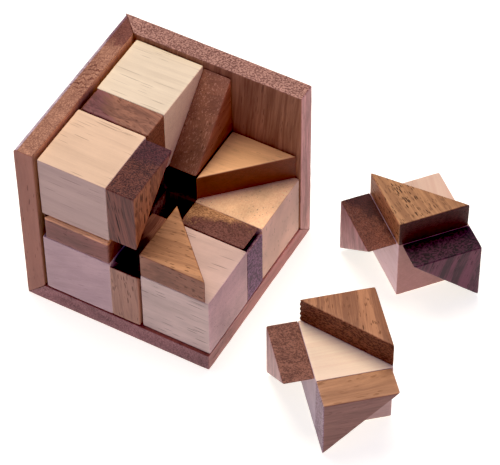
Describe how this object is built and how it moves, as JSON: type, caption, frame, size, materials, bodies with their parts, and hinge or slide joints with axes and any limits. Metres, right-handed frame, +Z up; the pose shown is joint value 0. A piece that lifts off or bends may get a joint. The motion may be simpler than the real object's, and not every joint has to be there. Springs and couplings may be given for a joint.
{
  "type": "packing puzzle",
  "caption": "Corner tray with cubes that carry half-square wedges and pack into it as a block, some of them still beside the tray.",
  "frame": {"origin": "centre of the tray's underside", "axes": "+Z up; the tray's walls stand on the -X and +Y sides, it is open at +X and -Y, and the loose pieces stand on its +X side"},
  "size_m": [0.1889, 0.1458, 0.0975],
  "materials": {
    "tray_wood": "reddish-brown open-pored hardwood, lightly oiled, satin",
    "pale_wood": "pale cream wood with short fine pores, sanded, lightly oiled",
    "honey_wood": "honey-brown hardwood with dark pores, satin",
    "brown_wood": "mid-brown hardwood with dark pores, satin",
    "dark_wood": "dark purple-brown hardwood, satin"
  },
  "bodies": {
    "tray": {"tray_floor": "tray_wood", "tray_back_wall": "tray_wood", "tray_left_wall": "tray_wood"},
    "core": {"core_cube": "pale_wood", "core_wedge_x": "brown_wood", "core_wedge_y": "brown_wood", "core_wedge_z": "brown_wood"},
    "back_right": {"back_right_cube": "pale_wood", "back_right_wedge_x": "brown_wood", "back_right_wedge_y": "brown_wood", "back_right_wedge_z": "honey_wood"},
    "front_left": {"front_left_cube": "pale_wood", "front_left_wedge_x": "brown_wood", "front_left_wedge_y": "dark_wood", "front_left_wedge_z": "honey_wood"},
    "front_right": {"front_right_cube": "pale_wood", "front_right_wedge_x": "dark_wood", "front_right_wedge_y": "dark_wood", "front_right_wedge_z": "honey_wood"},
    "upper_back": {"upper_back_cube": "pale_wood", "upper_back_wedge_x": "brown_wood", "upper_back_wedge_y": "brown_wood", "upper_back_wedge_z": "dark_wood"},
    "upper_front": {"upper_front_cube": "pale_wood", "upper_front_wedge_x": "dark_wood", "upper_front_wedge_y": "brown_wood", "upper_front_wedge_z": "brown_wood"},
    "loose_back": {"loose_back_cube": "pale_wood", "loose_back_wedge_x": "brown_wood", "loose_back_wedge_y": "honey_wood", "loose_back_wedge_z": "dark_wood"},
    "loose_front": {"loose_front_cube": "pale_wood", "loose_front_wedge_x": "brown_wood", "loose_front_wedge_y": "honey_wood", "loose_front_wedge_z": "brown_wood"}
  },
  "joints": [
    {"name": "block_lift", "type": "slide", "parent": "tray", "child": "core", "axis": [0, 0, 1], "range_m": [0, 0.1]},
    {"name": "upper_front_lift", "type": "slide", "parent": "core", "child": "upper_front", "axis": [0, 0, 1], "range_m": [0, 0.06]},
    {"name": "upper_back_lift", "type": "slide", "parent": "upper_front", "child": "upper_back", "axis": [0, 0, 1], "range_m": [0, 0.06]},
    {"name": "back_right_slide", "type": "slide", "parent": "core", "child": "back_right", "axis": [0, -1, 0], "range_m": [0, 0.1]},
    {"name": "front_right_slide", "type": "slide", "parent": "back_right", "child": "front_right", "axis": [0, -1, 0], "range_m": [0, 0.06]},
    {"name": "front_left_slide", "type": "slide", "parent": "front_right", "child": "front_left", "axis": [0, -1, 0], "range_m": [0, 0.06]},
    {"name": "loose_back_lift", "type": "slide", "parent": "tray", "child": "loose_back", "axis": [0, 0, 1], "range_m": [0, 0.1]},
    {"name": "loose_front_lift", "type": "slide", "parent": "tray", "child": "loose_front", "axis": [0, 0, 1], "range_m": [0, 0.1]}
  ]
}
